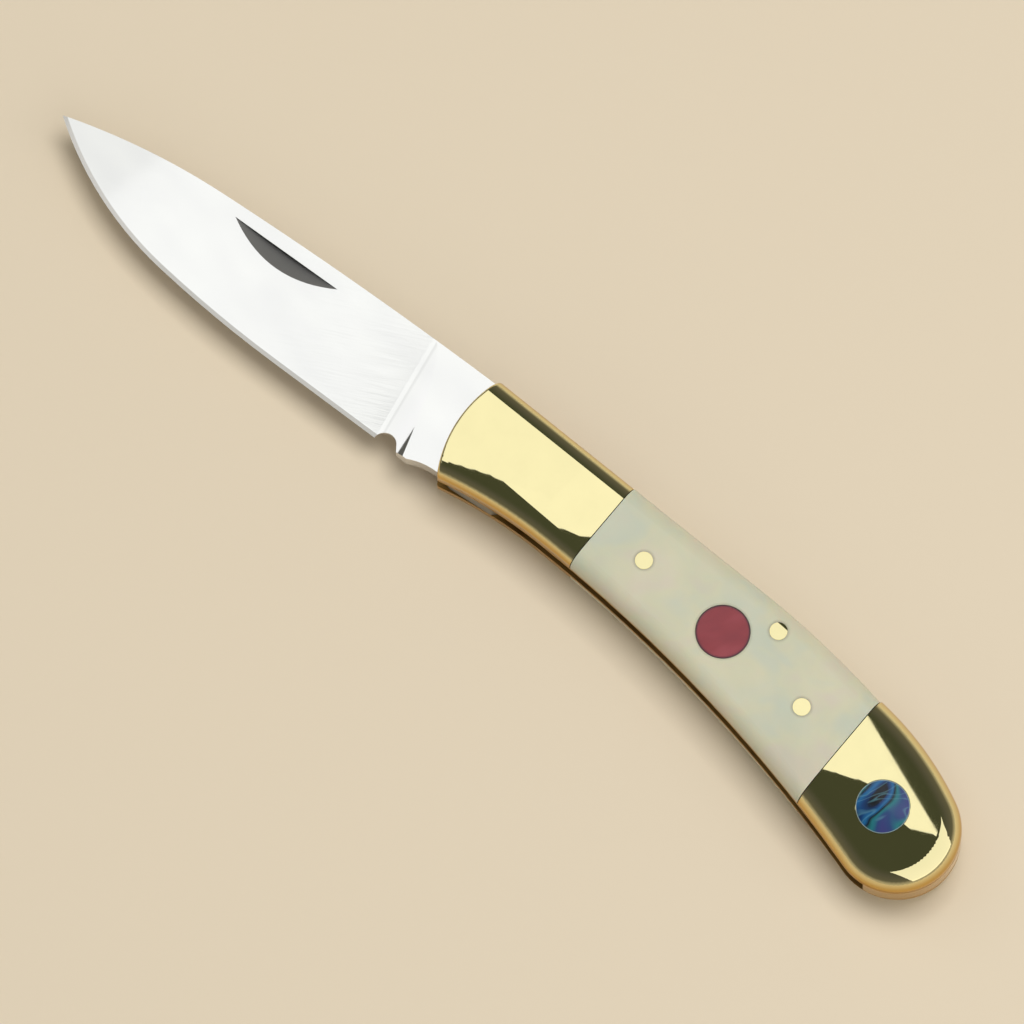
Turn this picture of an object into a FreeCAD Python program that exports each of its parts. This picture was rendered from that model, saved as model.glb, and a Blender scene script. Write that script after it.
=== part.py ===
import FreeCAD, Part
import math
import os
import Sketcher

# A slip-joint folding pocket knife, open, lying on its pile side.
# +X runs from the pivot to the tail, +Y to the spine and +Z up through the mark side.
# The origin is on the blade's pivot axis, in the plane that the knife lies on.

# Driving sizes in millimetres and degrees. Reaches are measured from the pivot axis.
SIZES = {
    # layers of the handle, from the outside to the blade
    "slab_thickness": 2.75,
    "liner_thickness": 0.6,
    "blade_thickness": 2.4,
    "side_play": 0.05,
    # outline of the handle, whose butt closes behind the tip of the folded blade
    "spine_height": 7.5,
    "front_spine_reach": 5.0,
    "front_belly_reach": 3.6,
    "front_edge_radius": 15.6,
    "spine_sweep_radius": 108.0,
    "crown_height": 6.4,
    "crown_radius": 38.0,
    "butt_length": 5.35,
    "tail_drop": 4.03,
    "tail_radius": 7.35,
    "waist_reach": 10.0,
    "waist_depth": 4.0,
    "waist_front_radius": 57.0,
    # rounding of the handle
    "shoulder_radius": 1.95,
    "rear_shoulder_radius": 2.7,
    "front_round": 0.35,
    "dome_line_rise": 0.43,
    "dome_skew": 2.1,
    "dome_radius": 34.0,
    # joints between bolsters and scales
    "front_joint_reach": 14.65,
    "rear_bolster_length": 17.95,
    "joint_line": 0.1,
    # pins
    "pivot_radius": 1.6,
    "pin_radius": 1.03,
    "pin_fit": 0.02,
    "pivot_play": 0.03,
    "pin_cover": 1.1,
    "scale_pin_setback": 6.33,
    "front_pin_height": 1.44,
    "rear_pin_depth": 0.4,
    "centre_pin_lead": 4.82,
    "centre_pin_inset": 2.75,
    "end_pin_setback": 5.25,
    "end_pin_height": 1.5,
    # inlaid discs
    "inlay_radius": 3.08,
    "inlay_depth": 1.3,
    "inlay_fit": 0.06,
    "red_inlay_share": 0.4964,
    "red_inlay_height": 0.7,
    "shell_inlay_setback": 8.07,
    "shell_inlay_rise": 0.52,
    # outline of the blade
    "tip_reach": 63.9,
    "tip_height": 0.54,
    "point_length": 19.9,
    "blade_crest_reach": 12.0,
    "blade_crest_rise": 0.07,
    "blade_spine_drop": 2.72,
    "edge_sweep_radius": 150.0,
    "edge_flat_reach": 27.0,
    "edge_depth": 6.58,
    "heel_depth": 6.05,
    "choil_radius": 1.42,
    "choil_wall_run": 0.71,
    "kick_reach": 8.9,
    "kick_depth": 6.55,
    "relief_radius": 8.0,
    # tang and backspring
    "closed_lap": 6.5,
    "tang_flat": 4.75,
    "cam_rise": 0.75,
    "tang_shoulder_reach": 2.0,
    "working_gap": 0.04,
    "spring_head_length": 4.2,
    "spring_ramp_length": 2.4,
    "hump_radius": 2.0,
    "hump_blend_radius": 6.0,
    "spring_tail_depth": 1.4,
    "tip_clearance": 0.6,
    # grinding of the blade
    "grind_angle": 4.6,
    "bevel_angle": 19.0,
    "edge_half_thickness": 0.14,
    "apex_half_thickness": 0.02,
    "plunge_reach": 5.35,
    "plunge_lean": 9.0,
    "plunge_radius": 8.0,
    # nail nick
    "nick_reach": 33.95,
    "nick_height": 4.07,
    "nick_slope": 3.1,
    "nick_length": 14.5,
    "nick_width": 2.1,
    "nick_depth": 0.75,
    # how far cutting shapes run past what they cut
    "overrun": 12.0,
}

doc = FreeCAD.newDocument("folding_pocket_knife")
sheet = doc.addObject("Spreadsheet::Sheet", "sizes")
for row, (alias, value) in enumerate(SIZES.items(), start=1):
    sheet.set(f"A{row}", alias)
    sheet.set(f"B{row}", str(value))
    sheet.setAlias(f"B{row}", alias)
doc.recompute()

# Levels of the layers, as expressions on the sheet.
SLOT = "(sizes.blade_thickness + 2 * sizes.side_play)"
HALF_SLOT = f"({SLOT} / 2)"
WALL = "(sizes.slab_thickness + sizes.liner_thickness)"
MIDDLE = f"({WALL} + {HALF_SLOT})"
TOTAL = f"(2 * {MIDDLE})"
MARK_LINER = f"({WALL} + {SLOT})"
MARK_SLAB = f"({MARK_LINER} + sizes.liner_thickness)"
INLAY_FLOOR = f"({TOTAL} - sizes.inlay_depth)"
NICK_WHEEL = "((sizes.nick_length ^ 2 / 4 + sizes.nick_depth ^ 2) / (2 * sizes.nick_depth))"
# Places along the knife that follow from the driving sizes.
TIP_SWEEP = "(sqrt(sizes.tip_reach ^ 2 + sizes.tip_height ^ 2) + sizes.tip_clearance)"
TAIL_END = f"({TIP_SWEEP} + sizes.butt_length)"
TAIL_REACH = f"({TAIL_END} - sizes.tail_radius)"
REAR_JOINT = f"({TAIL_END} - sizes.rear_bolster_length)"
SCALE_LENGTH = f"({REAR_JOINT} - sizes.front_joint_reach)"
RED_INLAY_REACH = f"(sizes.front_joint_reach + sizes.red_inlay_share * {SCALE_LENGTH})"
CENTRE_PIN_REACH = f"({RED_INLAY_REACH} + sizes.centre_pin_lead)"
CENTRE_PIN_HEIGHT = "(sizes.spine_height - sizes.centre_pin_inset)"
CREST_HEIGHT = "(sizes.spine_height + sizes.blade_crest_rise)"
SWEEP_REACH = "(sizes.tip_reach - sizes.point_length)"
BLADE_SPINE_RADIUS = (f"((({SWEEP_REACH} + sizes.blade_crest_reach) ^ 2 + sizes.blade_spine_drop ^ 2)"
                      " / (2 * sizes.blade_spine_drop))")
HEEL_REACH = "(sizes.kick_reach + 2 * sizes.choil_radius + sizes.choil_wall_run)"
EDGE_TILT = f"atan((sizes.edge_depth - sizes.heel_depth) / (sizes.edge_flat_reach - {HEEL_REACH}))"
GRIND_WIDTH = f"({CREST_HEIGHT} + sizes.edge_depth + sizes.choil_radius)"
CAM_RADIUS = "(sizes.tang_flat + sizes.cam_rise)"
# Radius and place of each pin.
PINS = {
    "pivot": ("sizes.pivot_radius", "0", "0"),
    "spring_centre": ("sizes.pin_radius", CENTRE_PIN_REACH, CENTRE_PIN_HEIGHT),
    "spring_end": ("sizes.pin_radius", f"{TIP_SWEEP} - sizes.end_pin_setback", "sizes.end_pin_height"),
    "tail": ("sizes.pin_radius", f"{TIP_SWEEP} + sizes.butt_length / 2", "-sizes.tail_drop"),
    "front_scale": ("sizes.pin_radius", "sizes.front_joint_reach + sizes.scale_pin_setback",
                    "sizes.front_pin_height"),
    "rear_scale": ("sizes.pin_radius", f"{REAR_JOINT} - sizes.scale_pin_setback", "-sizes.rear_pin_depth"),
}
# Place of each inlaid disc.
INLAYS = {
    "red_inlay": (RED_INLAY_REACH, "sizes.red_inlay_height"),
    "shell_inlay": (f"{REAR_JOINT} + sizes.shell_inlay_setback", "sizes.shell_inlay_rise - sizes.tail_drop"),
}


class Size:
    """The sizes by name, for the first place of sketch geometry."""


for alias, value in SIZES.items():
    setattr(Size, alias, value)
Size.half_thickness = sheet.evalExpression(MIDDLE)
Size.tip_sweep = sheet.evalExpression(TIP_SWEEP)
Size.tail_reach = sheet.evalExpression(TAIL_REACH)
Size.centre_pin_reach = sheet.evalExpression(CENTRE_PIN_REACH)
Size.centre_pin_height = sheet.evalExpression(CENTRE_PIN_HEIGHT)
Size.crest_height = sheet.evalExpression(CREST_HEIGHT)
Size.sweep_reach = sheet.evalExpression(SWEEP_REACH)
Size.blade_spine_radius = sheet.evalExpression(BLADE_SPINE_RADIUS)
Size.heel_reach = sheet.evalExpression(HEEL_REACH)
Size.grind_width = sheet.evalExpression(GRIND_WIDTH)
Size.cam_radius = sheet.evalExpression(CAM_RADIUS)


def point(x, y):
    return FreeCAD.Vector(x, y, 0)


def unit(angle):
    return point(math.cos(angle), math.sin(angle))


def angle_of(vector):
    return math.atan2(vector.y, vector.x)


def arc_centre(start, heading, end):
    """Centre of the arc that leaves start along heading and reaches end."""
    chord = end - start
    side = point(-heading.y, heading.x)
    return start + side * (chord.Length ** 2 / (2 * side.dot(chord)))


def centre_between(start, end, radius):
    """Centre of an arc of this radius, on the left of the way from start to end."""
    half = (end - start) * 0.5
    side = point(-half.y, half.x).normalize()
    return start + half + side * math.sqrt(radius ** 2 - half.Length ** 2)


def line(end, smooth=False):
    return {"end": end, "centre": None, "smooth": smooth}


def arc(end, centre, turn, smooth=False):
    """A turn of 1 runs anticlockwise and -1 clockwise; smooth ends run on in tangent."""
    return {"end": end, "centre": centre, "turn": turn, "smooth": smooth}


def draw(sketch, start, steps, closed=True):
    """Draw a profile or a path and return each step's curve with its first and last point."""
    curves = []
    for step in steps:
        end = step["end"]
        if step["centre"] is None:
            curve = Part.LineSegment(start, end)
            ends = (1, 2)
        else:
            centre = step["centre"]
            circle = Part.Circle(centre, FreeCAD.Vector(0, 0, 1), (end - centre).Length)
            angles = [angle_of(start - centre), angle_of(end - centre)]
            ends = (1, 2) if step["turn"] > 0 else (2, 1)
            first, last = angles if step["turn"] > 0 else reversed(angles)
            curve = Part.ArcOfCircle(circle, first, last if last > first else last + 2 * math.pi)
        curves.append((sketch.addGeometry(curve, False), *ends))
        start = end
    onward = curves[1:] + curves[:1] if closed else curves[1:]
    for step, curve, following in zip(steps, curves, onward):
        kind = "Tangent" if step["smooth"] else "Coincident"
        sketch.addConstraint(Sketcher.Constraint(kind, curve[0], curve[2], following[0], following[1]))
    return curves


def hold(sketch, constraint, expression):
    """Add a dimension and bind it to the sheet."""
    index = sketch.addConstraint(constraint)
    sketch.setExpression(f"Constraints[{index}]", expression)


def hold_x(sketch, curve, place, expression):
    value = sketch.getPoint(curve, place).x
    hold(sketch, Sketcher.Constraint("DistanceX", -1, 1, curve, place, value), expression)


def hold_y(sketch, curve, place, expression):
    value = sketch.getPoint(curve, place).y
    hold(sketch, Sketcher.Constraint("DistanceY", -1, 1, curve, place, value), expression)


def hold_point(sketch, curve, place, x, y):
    hold_x(sketch, curve, place, x)
    hold_y(sketch, curve, place, y)


def hold_radius(sketch, curve, expression):
    hold(sketch, Sketcher.Constraint("Radius", curve, sketch.Geometry[curve].Radius), expression)


def new_body(name, height):
    """A body whose own XY plane lies at a height of the knife."""
    body = doc.addObject("PartDesign::Body", name)
    body.setExpression("Placement.Base.z", height)
    return body


def new_sketch(body, name, role="XY_Plane"):
    sketch = body.newObject("Sketcher::SketchObject", name)
    plane = next(item for item in body.Origin.OriginFeatures if item.Role == role)
    sketch.AttachmentSupport = [(plane, "")]
    sketch.MapMode = "FlatFace"
    return sketch


def new_pad(body, sketch, name, length, symmetric=False):
    pad = body.newObject("PartDesign::Pad", name)
    pad.Profile = sketch
    pad.SideType = "Symmetric" if symmetric else "One side"
    pad.setExpression("Length", length)
    return pad


def mirror_up_down(body, feature, name):
    """Repeat a feature on the other side of the body's own XY plane."""
    mirrored = body.newObject("PartDesign::Mirrored", name)
    plane = next(item for item in body.Origin.OriginFeatures if item.Role == "XY_Plane")
    mirrored.Originals = feature
    mirrored.MirrorPlane = (plane, [""])
    body.Tip = mirrored
    return mirrored


def named_edges(feature):
    return [(f"Edge{number}", edge) for number, edge in enumerate(feature.Shape.Edges, start=1)]


def stands_over(edge, curve):
    """Whether the middle of an edge stands over or under a curve of a level sketch."""
    middle = edge.valueAt((edge.FirstParameter + edge.LastParameter) / 2)
    return curve.distToShape(Part.Vertex(middle.x, middle.y, 0))[0] < Size.pin_fit


def new_fillet(body, base, name, radius, edge_names):
    fillet = body.newObject("PartDesign::Fillet", name)
    fillet.Base = (base, edge_names)
    fillet.setExpression("Radius", radius)
    return fillet


def place(item, x, y, z):
    for axis, expression in zip("xyz", (x, y, z)):
        item.setExpression(f"Placement.Base.{axis}", expression)
    return item


def new_box(name, corner, extent):
    box = doc.addObject("Part::Box", name)
    for side, expression in zip(("Length", "Width", "Height"), extent):
        box.setExpression(side, expression)
    return place(box, *corner)


def new_rod(name, radius, x, y, bottom, top):
    rod = doc.addObject("Part::Cylinder", name)
    rod.setExpression("Radius", radius)
    rod.setExpression("Height", f"{top} - {bottom}")
    return place(rod, x, y, bottom)


def common(name, base, tool):
    piece = doc.addObject("Part::Common", name)
    piece.Base = base
    piece.Tool = tool
    return piece


def fuse(name, *pieces):
    joined = doc.addObject("Part::MultiFuse", name)
    joined.Shapes = list(pieces)
    return joined


def cut(name, base, *tools):
    piece = doc.addObject("Part::Cut", name)
    piece.Base = base
    piece.Tool = fuse(f"{name}_holes", *tools) if len(tools) > 1 else tools[0]
    return piece


def new_mirror(name, source):
    """The same shape on the other side of the knife's middle plane."""
    mirror = doc.addObject("Part::Mirroring", name)
    mirror.Source = source
    mirror.Normal = FreeCAD.Vector(0, 0, 1)
    mirror.setExpression("Base.z", MIDDLE)
    return mirror


# Handle envelope: the whole handle is ground and polished as one block after assembly.

def handle_outline(sketch, top, sweep):
    """Draw an outline from the height of its spine and the sweep to the tail, and return its front edge."""
    front_spine = point(-Size.front_spine_reach, top[0])
    tail_centre = point(Size.tail_reach, -Size.tail_drop)
    sweep_y = top[0] - sweep[0]
    reach = math.sqrt((sweep[0] - Size.tail_radius) ** 2 - (tail_centre.y - sweep_y) ** 2)
    sweep_centre = point(tail_centre.x - reach, sweep_y)
    spine_end = point(sweep_centre.x, top[0])
    tail_start = tail_centre + (tail_centre - sweep_centre).normalize() * Size.tail_radius
    waist = point(Size.waist_reach, -Size.waist_depth)
    offset = tail_centre - waist
    rear_radius = (Size.tail_radius ** 2 - offset.Length ** 2) / (2 * (offset.y - Size.tail_radius))
    rear_centre = waist - point(0, rear_radius)
    tail_finish = tail_centre + (rear_centre - tail_centre).normalize() * Size.tail_radius
    front_centre = waist - point(0, Size.waist_front_radius)
    run = Size.waist_reach + Size.front_belly_reach
    front_belly = front_centre + point(-run, math.sqrt(Size.waist_front_radius ** 2 - run ** 2))
    edge_centre = centre_between(front_spine, front_belly, Size.front_edge_radius)
    curves = draw(sketch, front_spine, [
        line(spine_end, smooth=True),
        arc(tail_start, sweep_centre, -1, smooth=True),
        arc(tail_finish, tail_centre, -1, smooth=True),
        arc(waist, rear_centre, 1, smooth=True),
        arc(front_belly, front_centre, 1),
        arc(front_spine, edge_centre, -1),
    ])
    spine, fall, tail, rear, front, edge = (curve[0] for curve in curves)
    sketch.addConstraint(Sketcher.Constraint("Horizontal", spine))
    hold_point(sketch, spine, 1, "-sizes.front_spine_reach", top[1])
    hold_radius(sketch, fall, sweep[1])
    hold_radius(sketch, tail, "sizes.tail_radius")
    hold_point(sketch, tail, 3, TAIL_REACH, "-sizes.tail_drop")
    hold_point(sketch, rear, curves[3][2], "sizes.waist_reach", "-sizes.waist_depth")
    hold_x(sketch, rear, 3, "sizes.waist_reach")
    hold_radius(sketch, front, "sizes.waist_front_radius")
    hold_x(sketch, front, curves[4][2], "-sizes.front_belly_reach")
    hold_radius(sketch, edge, "sizes.front_edge_radius")
    return edge


def polished_block(name, top, sweep, shoulder):
    """A plate of the handle's outline with domed faces and rounded shoulders."""
    body = new_body(f"{name}_block", MIDDLE)
    outline = new_sketch(body, f"{name}_outline")
    front = handle_outline(outline, top, sweep)
    new_pad(body, outline, f"{name}_plate", TOTAL, symmetric=True)
    # The face falls away to the belly in one large round, whose line runs askew along the handle.
    half = Size.half_thickness
    dome = new_sketch(body, f"{name}_dome", "YZ_Plane")
    dome.AttachmentOffset.Rotation.Axis = FreeCAD.Vector(0, 1, 0)
    dome.setExpression("AttachmentOffset.Rotation.Angle", "-sizes.dome_skew")
    crest = point(Size.dome_line_rise, half)
    centre = crest - point(0, Size.dome_radius)
    far = Size.tail_drop + Size.tail_radius + Size.overrun + Size.dome_line_rise
    foot = centre + point(-far, math.sqrt(Size.dome_radius ** 2 - far ** 2))
    curves = draw(dome, crest, [
        arc(foot, centre, 1),
        line(point(foot.x, half + Size.overrun)),
        line(point(crest.x, half + Size.overrun)),
        line(crest),
    ])
    fall, left, lid, right = (curve[0] for curve in curves)
    dome.addConstraint(Sketcher.Constraint("Vertical", left))
    dome.addConstraint(Sketcher.Constraint("Horizontal", lid))
    dome.addConstraint(Sketcher.Constraint("Vertical", right))
    hold_point(dome, right, 2, "sizes.dome_line_rise", f"{TOTAL} / 2")
    hold_x(dome, fall, 3, "sizes.dome_line_rise")
    hold_radius(dome, fall, "sizes.dome_radius")
    hold_x(dome, left, 2, "-(sizes.tail_drop + sizes.tail_radius + sizes.overrun)")
    hold_y(dome, left, 2, f"{TOTAL} / 2 + sizes.overrun")
    pocket = body.newObject("PartDesign::Pocket", f"{name}_mark_face")
    pocket.Profile = dome
    pocket.Type = "ThroughAll"
    pocket.SideType = "Symmetric"
    doc.recompute()
    mirrored = mirror_up_down(body, [pocket], f"{name}_faces")
    doc.recompute()
    # The shoulders are rounded all the way round but for the front edge, which gets a small round.
    front_edge = outline.Geometry[front].toShape()
    shoulders = new_fillet(body, mirrored, f"{name}_shoulders", shoulder, [
        edge_name for edge_name, edge in named_edges(mirrored)
        if stands_over(edge, outline.Shape) and not stands_over(edge, front_edge)
        and abs(edge.tangentAt(edge.FirstParameter).z) < math.sqrt(0.5)
    ])
    doc.recompute()
    new_fillet(body, shoulders, f"{name}_front", "sizes.front_round", [
        edge_name for edge_name, edge in named_edges(shoulders) if stands_over(edge, front_edge)
    ])
    return body


def zone(name, start, finish, bottom, top):
    """A stretch of the handle between two places along it and two levels."""
    side = f"({TAIL_END} + sizes.overrun)"
    return new_box(name, (start, f"-{side}", bottom), (f"{finish} - {start}", f"2 * {side}", f"{top} - {bottom}"))


def handle_envelope():
    """The whole polished handle; behind the rear joint a crown stands a little proud of the spine."""
    fore = polished_block("fore", (Size.spine_height, "sizes.spine_height"),
                          (Size.spine_sweep_radius, "sizes.spine_sweep_radius"), "sizes.shoulder_radius")
    rear = polished_block("rear", (Size.crown_height, "sizes.crown_height"),
                          (Size.crown_radius, "sizes.crown_radius"), "sizes.rear_shoulder_radius")
    fore_zone = zone("fore_stretch", f"(-{TAIL_END})", REAR_JOINT, "0", TOTAL)
    rear_zone = zone("rear_stretch", REAR_JOINT, f"({TAIL_END} + sizes.overrun)", "0", TOTAL)
    return fuse("handle_envelope", common("fore_handle", fore, fore_zone), common("rear_handle", rear, rear_zone))


# Blade

def blade_points():
    """The corners and arc centres of the blade's outline, open, seen from the mark side."""
    spots = {}
    spine_centre = point(Size.blade_crest_reach, Size.crest_height - Size.blade_spine_radius)

    def on_spine(x):
        run = x - spine_centre.x
        return point(x, spine_centre.y + math.sqrt(Size.blade_spine_radius ** 2 - run ** 2))

    spots["spine_centre"] = spine_centre
    spots["shoulder_top"] = on_spine(-Size.tang_shoulder_reach)
    spots["spine_sweep"] = on_spine(-Size.sweep_reach)
    spots["tip"] = point(-Size.tip_reach, Size.tip_height)
    radial = spots["spine_sweep"] - spine_centre
    heading = point(-radial.y, radial.x).normalize()
    spots["point_centre"] = arc_centre(spots["spine_sweep"], heading, spots["tip"])
    spots["heel"] = point(-Size.heel_reach, -Size.heel_depth)
    spots["edge_flat"] = point(-Size.edge_flat_reach, -Size.edge_depth)
    along = (spots["edge_flat"] - spots["heel"]).normalize()
    upward = point(along.y, -along.x)
    spots["belly_centre"] = spots["edge_flat"] + upward * Size.edge_sweep_radius
    run = spots["belly_centre"].x + Size.sweep_reach
    drop = math.sqrt(Size.edge_sweep_radius ** 2 - run ** 2)
    spots["edge_sweep"] = point(-Size.sweep_reach, spots["belly_centre"].y - drop)
    inward = (spots["belly_centre"] - spots["edge_sweep"]).normalize()
    heading = point(-inward.y, inward.x)
    spots["tip_centre"] = arc_centre(spots["edge_sweep"], heading, spots["tip"])
    return spots


def tang_points():
    spots = {}
    heel = point(-Size.heel_reach, -Size.heel_depth)
    spots["choil_centre"] = heel + point(Size.choil_radius, 0)
    spots["kick"] = point(-Size.kick_reach, -Size.kick_depth)
    toward = spots["choil_centre"] - spots["kick"]
    swing = math.acos(Size.choil_radius / toward.Length)
    spots["choil_end"] = spots["choil_centre"] + unit(angle_of(-toward) + swing) * Size.choil_radius
    lap = math.radians(Size.closed_lap)
    foot = unit(lap - math.pi / 2) * Size.tang_flat
    half_flat = unit(lap) * math.sqrt(Size.cam_radius ** 2 - Size.tang_flat ** 2)
    spots["flat_front"] = foot - half_flat
    spots["flat_rear"] = foot + half_flat
    spots["relief_centre"] = centre_between(spots["flat_front"], spots["kick"], Size.relief_radius)
    spots["open_rear"] = point(half_flat.Length, Size.tang_flat)
    spots["open_front"] = point(-Size.tang_shoulder_reach, Size.tang_flat)
    return spots


def blade_blank():
    """The blade's outline at its full thickness, with the pivot hole."""
    body = new_body("blade_blank", MIDDLE)
    sketch = new_sketch(body, "blade_outline")
    blade = blade_points()
    tang = tang_points()
    curves = draw(sketch, blade["shoulder_top"], [
        arc(blade["spine_sweep"], blade["spine_centre"], 1, smooth=True),
        arc(blade["tip"], blade["point_centre"], 1),
        arc(blade["edge_sweep"], blade["tip_centre"], 1, smooth=True),
        arc(blade["edge_flat"], blade["belly_centre"], 1, smooth=True),
        line(blade["heel"]),
        arc(tang["choil_end"], tang["choil_centre"], -1, smooth=True),
        line(tang["kick"]),
        arc(tang["flat_front"], tang["relief_centre"], -1),
        line(tang["flat_rear"]),
        arc(tang["open_rear"], point(0, 0), 1),
        line(tang["open_front"]),
        line(blade["shoulder_top"]),
    ])
    back, sweep, tip, belly, edge, choil, kick, relief, flat, cam, seat, shoulder = (c[0] for c in curves)
    hold_radius(sketch, back, BLADE_SPINE_RADIUS)
    hold_point(sketch, back, 3, "sizes.blade_crest_reach", f"{CREST_HEIGHT} - {BLADE_SPINE_RADIUS}")
    hold_x(sketch, back, curves[0][2], f"-{SWEEP_REACH}")
    hold_point(sketch, sweep, curves[1][2], "-sizes.tip_reach", "sizes.tip_height")
    hold_x(sketch, tip, curves[2][2], f"-{SWEEP_REACH}")
    hold_radius(sketch, belly, "sizes.edge_sweep_radius")
    hold_point(sketch, edge, 1, "-sizes.edge_flat_reach", "-sizes.edge_depth")
    hold_point(sketch, edge, 2, f"-{HEEL_REACH}", "-sizes.heel_depth")
    hold_radius(sketch, choil, "sizes.choil_radius")
    hold_y(sketch, choil, 3, "-sizes.heel_depth")
    hold_point(sketch, kick, 2, "-sizes.kick_reach", "-sizes.kick_depth")
    hold_radius(sketch, relief, "sizes.relief_radius")
    lap = math.radians(Size.closed_lap)
    hold(sketch, Sketcher.Constraint("Angle", -1, 1, flat, 1, lap), "sizes.closed_lap")
    hold(sketch, Sketcher.Constraint("Distance", -1, 1, flat, Size.tang_flat), "sizes.tang_flat")
    hold(sketch, Sketcher.Constraint("Distance", -1, 1, flat, 1, Size.cam_radius), CAM_RADIUS)
    sketch.addConstraint(Sketcher.Constraint("Coincident", cam, 3, -1, 1))
    hold_radius(sketch, cam, CAM_RADIUS)
    sketch.addConstraint(Sketcher.Constraint("Horizontal", seat))
    sketch.addConstraint(Sketcher.Constraint("Vertical", shoulder))
    hold_point(sketch, seat, 2, "-sizes.tang_shoulder_reach", "sizes.tang_flat")
    new_pad(body, sketch, "blank", "sizes.blade_thickness", symmetric=True)
    return body


def edge_path(body, name):
    """The cutting edge as a path, run on straight past the heel and the tip."""
    sketch = new_sketch(body, f"{name}_path")
    blade = blade_points()
    along = (blade["edge_flat"] - blade["heel"]).normalize()
    behind = blade["heel"] - along * ((Size.heel_reach + Size.overrun) / -along.x)
    inward = (blade["tip_centre"] - blade["tip"]).normalize()
    ahead = blade["tip"] + point(-inward.y, inward.x) * Size.overrun
    curves = draw(sketch, behind, [
        line(blade["edge_flat"], smooth=True),
        arc(blade["edge_sweep"], blade["belly_centre"], -1, smooth=True),
        arc(blade["tip"], blade["tip_centre"], -1, smooth=True),
        line(ahead),
    ], closed=False)
    edge, belly, tip, front = (curve[0] for curve in curves)
    hold_x(sketch, edge, 1, "sizes.overrun")
    hold_point(sketch, edge, 2, "-sizes.edge_flat_reach", "-sizes.edge_depth")
    heel = sketch.addGeometry(Part.Point(blade["heel"]), True)
    hold_point(sketch, heel, 1, f"-{HEEL_REACH}", "-sizes.heel_depth")
    sketch.addConstraint(Sketcher.Constraint("PointOnObject", heel, 1, edge))
    hold_radius(sketch, belly, "sizes.edge_sweep_radius")
    hold_x(sketch, belly, curves[1][2], f"-{SWEEP_REACH}")
    hold_point(sketch, tip, curves[2][2], "-sizes.tip_reach", "sizes.tip_height")
    hold(sketch, Sketcher.Constraint("Distance", front, Size.overrun), "sizes.overrun")
    return sketch


def ground_wedge(body, name, angle, web):
    """A wedge swept along the cutting edge: a web at the edge, thicker inwards at a grinding angle."""
    path = edge_path(body, name)
    section = new_sketch(body, f"{name}_section", "YZ_Plane")
    section.AttachmentOffset.Rotation.Axis = FreeCAD.Vector(0, 1, 0)
    section.setExpression("AttachmentOffset.Base.x",
                          f"(sizes.overrun + {HEEL_REACH}) * tan({EDGE_TILT}) - sizes.heel_depth")
    section.setExpression("AttachmentOffset.Base.z", "sizes.overrun")
    section.setExpression("AttachmentOffset.Rotation.Angle", EDGE_TILT)
    rise = Size.grind_width * math.tan(math.radians(angle[0]))
    curves = draw(section, point(0, 0), [
        line(point(Size.grind_width, 0)),
        line(point(Size.grind_width, web[0] + rise)),
        line(point(0, web[0])),
        line(point(0, 0)),
    ])
    base, inner, slope, outer = (curve[0] for curve in curves)
    hold_point(section, base, 1, "0", "0")
    hold_point(section, base, 2, GRIND_WIDTH, "0")
    hold_point(section, inner, 2, GRIND_WIDTH, f"{web[1]} + {GRIND_WIDTH} * tan({angle[1]})")
    hold_point(section, slope, 2, "0", web[1])
    wedge = body.newObject("PartDesign::AdditivePipe", name)
    wedge.Profile = section
    wedge.Spine = (path, [f"Edge{number}" for number in (1, 2, 3, 4)])
    return wedge


def tang_block(body, name, reach, lean):
    """A block that keeps the tang at its full thickness, with a leaning front wall."""
    sketch = new_sketch(body, f"{name}_profile")
    rise = Size.overrun * math.tan(math.radians(lean[0]))
    corners = [
        point(-reach[0] + rise, -Size.overrun),
        point(Size.overrun, -Size.overrun),
        point(Size.overrun, Size.overrun),
        point(-reach[0] - rise, Size.overrun),
    ]
    curves = draw(sketch, corners[0], [line(corner) for corner in corners[1:] + corners[:1]])
    slope = f"sizes.overrun * tan({lean[1]})"
    hold_point(sketch, curves[0][0], 1, f"-{reach[1]} + {slope}", "-sizes.overrun")
    hold_point(sketch, curves[1][0], 1, "sizes.overrun", "-sizes.overrun")
    hold_point(sketch, curves[2][0], 1, "sizes.overrun", "sizes.overrun")
    hold_point(sketch, curves[3][0], 1, f"-{reach[1]} - {slope}", "sizes.overrun")
    return new_pad(body, sketch, name, "sizes.overrun")


def flat_grind():
    """The mark side's flat grind, which runs out at the tang in the radius of the wheel."""
    body = new_body("flat_grind", MIDDLE)
    ground_wedge(body, "ground_side", (Size.grind_angle, "sizes.grind_angle"),
                 (Size.edge_half_thickness, "sizes.edge_half_thickness"))
    block = tang_block(body, "full_tang", (Size.plunge_reach, "sizes.plunge_reach"),
                       (Size.plunge_lean, "sizes.plunge_lean"))
    doc.recompute()
    lean = math.radians(Size.plunge_lean)
    across = point(math.cos(lean), math.sin(lean))
    names = []
    for edge_name, edge in named_edges(block):
        ends = [vertex.Point for vertex in edge.Vertexes]
        on_wall = all(abs(across.dot(end + point(Size.plunge_reach, 0))) < Size.pin_fit for end in ends)
        on_ground = all(Size.apex_half_thickness < end.z < Size.blade_thickness for end in ends)
        if on_wall and on_ground:
            names.append(edge_name)
    new_fillet(body, block, "plunge", "sizes.plunge_radius", names)
    return body


def edge_bevel():
    """The mark side's narrow sharpened bevel, from the heel to the tip."""
    body = new_body("edge_bevel", MIDDLE)
    ground_wedge(body, "sharpened_side", (Size.bevel_angle, "sizes.bevel_angle"),
                 (Size.apex_half_thickness, "sizes.apex_half_thickness"))
    tang_block(body, "unsharpened_tang", (Size.heel_reach - Size.choil_radius,
               f"({HEEL_REACH} - sizes.choil_radius)"), (0, "0"))
    return body


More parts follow.
